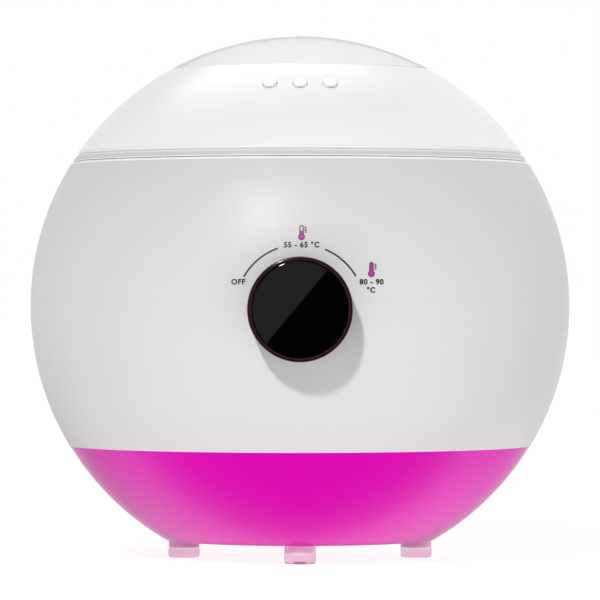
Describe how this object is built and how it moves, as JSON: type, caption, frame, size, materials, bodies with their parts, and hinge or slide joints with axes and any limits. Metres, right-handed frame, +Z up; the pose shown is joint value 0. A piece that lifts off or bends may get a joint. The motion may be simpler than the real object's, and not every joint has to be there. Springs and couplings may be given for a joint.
{
  "type": "wax warmer",
  "caption": "Ball-shaped electric wax warmer with a hinged window lid, a lift-out pot in a heated well, a turning heat knob and a see-through base on short feet.",
  "frame": {"origin": "on the ball's vertical axis, at the level of the feet's undersides", "axes": "+Z up, the knob faces -Y, +X is to the right seen from the knob"},
  "size_m": [0.18, 0.197, 0.1744],
  "materials": {
    "white_plastic": "satin white moulding",
    "magenta_plastic": "see-through magenta moulding",
    "clear_plastic": "clear frosted moulding",
    "foot_rubber": "clear pink soft plastic",
    "black_gloss": "gloss black moulding",
    "aluminium": "spun, satin",
    "steel": "plain zinc",
    "brass": "plain",
    "silicone": "matt translucent silicone",
    "grip_silicone": "matt magenta silicone",
    "glass_fibre": "woven glass fibre",
    "phenolic": "matt moulding",
    "wire_brown": "insulated wire",
    "wire_blue": "insulated wire"
  },
  "bodies": {
    "body": {"base_shell": "magenta_plastic", "base_screws": "steel", "tie_pillars": "aluminium", "heat_shield": "aluminium", "housing": "white_plastic", "hinge_pin": "steel", "inner_collar": "white_plastic", "collar_screws": "steel", "heating_well": "aluminium", "heater_band": "steel", "heater_clamp": "steel", "insulation_sleeve": "glass_fibre", "thermal_fuse": "phenolic", "fuse_clip": "steel", "thermostat_plate": "steel", "thermostat_body": "phenolic", "thermostat_nut": "steel", "power_inlet": "black_gloss", "inlet_pins": "brass", "inlet_screws": "steel", "wire_live": "wire_brown", "wire_switched": "wire_brown", "wire_fused": "wire_brown", "wire_neutral": "wire_blue", "foot_front": "foot_rubber", "foot_right": "foot_rubber", "foot_rear": "foot_rubber", "foot_left": "foot_rubber"},
    "lid": {"lid_shell": "white_plastic", "lid_neck": "white_plastic", "lid_band": "white_plastic", "lid_pips": "clear_plastic", "lid_window": "clear_plastic", "window_gasket": "silicone", "window_ring": "white_plastic", "window_ring_screws": "steel", "lid_gasket": "silicone"},
    "knob": {"knob_core": "black_gloss", "knob_clip": "steel", "knob_sleeve": "magenta_plastic", "knob_cap": "black_gloss", "thermostat_shaft": "steel"},
    "pot": {"wax_pot": "aluminium", "pot_grips": "grip_silicone"}
  },
  "joints": [
    {"name": "lid_hinge", "type": "hinge", "parent": "body", "child": "lid", "pos_m": [0, 0.08116, 0.13299], "axis": [-1, 0, 0], "range_deg": [0, 102]},
    {"name": "knob_turn", "type": "hinge", "parent": "body", "child": "knob", "pos_m": [0, -0.09, 0.083], "axis": [0, 1, 0], "range_deg": [0, 132]},
    {"name": "pot_lift", "type": "slide", "parent": "body", "child": "pot", "axis": [0, 0, 1], "range_m": [0, 0.008]}
  ]
}
